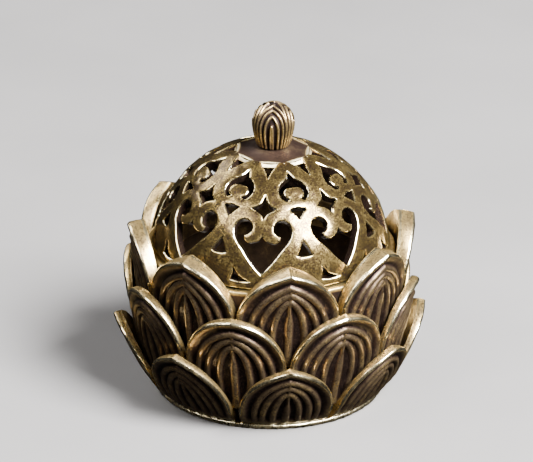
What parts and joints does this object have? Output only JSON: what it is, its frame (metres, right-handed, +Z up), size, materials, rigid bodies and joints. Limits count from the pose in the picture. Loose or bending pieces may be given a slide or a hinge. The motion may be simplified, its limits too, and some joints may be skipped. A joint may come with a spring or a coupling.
{
  "type": "incense burner",
  "caption": "Small round lotus incense burner: a brass bowl clad in rows of ribbed petals, with a pierced dome lid and a bud handle.",
  "frame": {"origin": "centre of the underside of the base plate", "axes": "+Z up along the common axis of bowl and lid; -Y is the front, through a petal of the lower and upper rows"},
  "size_m": [0.045, 0.045, 0.0429],
  "materials": {
    "brass_base": "worn cast brass with a rough bright edge",
    "brass_bowl": "golden cast brass, darkened inside",
    "brass_petal": "antique brass, polished rims over dark brown recesses",
    "brass_dome": "antique brass, satin speckled face with bright edges",
    "brass_finial": "antique brass with purple-brown patina and bright ribs",
    "brass_inner": "plain machined brass, tarnished",
    "fibre": "off-white felted ceramic fibre"
  },
  "bodies": {
    "burner": {"base_plate": "brass_base", "bowl": "brass_bowl", "lower_petal_1": "brass_petal", "lower_petal_2": "brass_petal", "lower_petal_3": "brass_petal", "lower_petal_4": "brass_petal", "lower_petal_5": "brass_petal", "lower_petal_6": "brass_petal", "lower_petal_7": "brass_petal", "lower_petal_8": "brass_petal", "middle_petal_1": "brass_petal", "middle_petal_2": "brass_petal", "middle_petal_3": "brass_petal", "middle_petal_4": "brass_petal", "middle_petal_5": "brass_petal", "middle_petal_6": "brass_petal", "middle_petal_7": "brass_petal", "middle_petal_8": "brass_petal", "upper_petal_1": "brass_petal", "upper_petal_2": "brass_petal", "upper_petal_3": "brass_petal", "upper_petal_4": "brass_petal", "upper_petal_5": "brass_petal", "upper_petal_6": "brass_petal", "upper_petal_7": "brass_petal", "upper_petal_8": "brass_petal"},
    "lid_ring": {"lid_collar": "brass_inner"},
    "lid": {"dome": "brass_dome", "finial_plate": "brass_finial", "finial_bud": "brass_finial", "finial_screw": "brass_inner"},
    "mat": {"fibre_mat": "fibre"}
  },
  "joints": [
    {"name": "lid_lift", "type": "slide", "parent": "burner", "child": "lid_ring", "axis": [0, 0, 1], "range_m": [0, 0.05]},
    {"name": "lid_turn", "type": "hinge", "parent": "lid_ring", "child": "lid", "pos_m": [0, 0, 0.0217], "axis": [0, 0, 1], "continuous": true},
    {"name": "mat_lift", "type": "slide", "parent": "burner", "child": "mat", "axis": [0, 0, 1], "range_m": [0, 0.012]}
  ]
}
